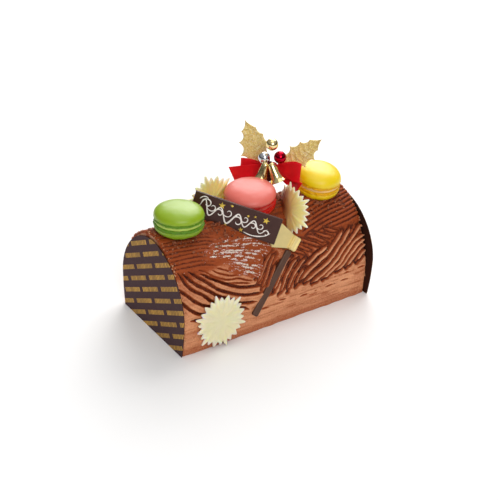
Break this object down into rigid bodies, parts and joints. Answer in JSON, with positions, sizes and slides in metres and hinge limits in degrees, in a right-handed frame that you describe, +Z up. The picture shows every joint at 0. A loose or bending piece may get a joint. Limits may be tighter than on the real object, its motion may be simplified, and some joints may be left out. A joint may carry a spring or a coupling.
{
  "type": "yule log cake",
  "caption": "Arched yule log cake in bark-combed chocolate cream between two end cards, topped with macarons, plaque, axe, snow crystals and a holly pick.",
  "frame": {"origin": "middle of the log's flat underside, on the surface the cake stands on", "axes": "+X along the log from its near end card to its far one, -Y out of the combed front side, +Z up"},
  "size_m": [0.1752, 0.0963, 0.1275],
  "materials": {
    "chocolate_cream": "soft satin, combed cream",
    "printed_card": "dark card with gold print",
    "green_shell": "smooth eggshell",
    "green_filling": "soft satin",
    "pink_shell": "smooth eggshell",
    "pink_filling": "soft satin",
    "yellow_shell": "smooth eggshell",
    "yellow_filling": "soft satin",
    "dark_chocolate": "satin, white and gold print",
    "white_chocolate": "soft satin",
    "handle_brown": "matte",
    "gold_moulding": "pale gold, satin",
    "gold_glitter": "gold glitter",
    "gold_foil": "mirror gold",
    "silver_foil": "mirror silver",
    "red_foil": "mirror red",
    "red_satin": "satin"
  },
  "bodies": {
    "root": {"log": "chocolate_cream", "end_card_near": "printed_card", "end_card_far": "printed_card", "green_macaron_upper_shell": "green_shell", "green_macaron_filling": "green_filling", "green_macaron_lower_shell": "green_shell", "pink_macaron_upper_shell": "pink_shell", "pink_macaron_filling": "pink_filling", "pink_macaron_lower_shell": "pink_shell", "yellow_macaron_upper_shell": "yellow_shell", "yellow_macaron_filling": "yellow_filling", "yellow_macaron_lower_shell": "yellow_shell", "plaque": "dark_chocolate", "snow_crystal_front": "white_chocolate", "snow_crystal_back": "white_chocolate", "snow_crystal_right": "white_chocolate", "axe_handle": "handle_brown", "axe_head": "gold_moulding", "holly_leaf_left": "gold_glitter", "holly_leaf_right": "gold_glitter", "ball_gold": "gold_foil", "ball_silver": "silver_foil", "ball_red": "red_foil", "bell_left": "gold_foil", "bell_right": "gold_foil", "bow_loop_left": "red_satin", "bow_loop_right": "red_satin", "bow_tail_left": "red_satin", "bow_tail_right": "red_satin", "bow_knot": "red_satin", "pick_stem": "gold_foil"}
  },
  "joints": []
}
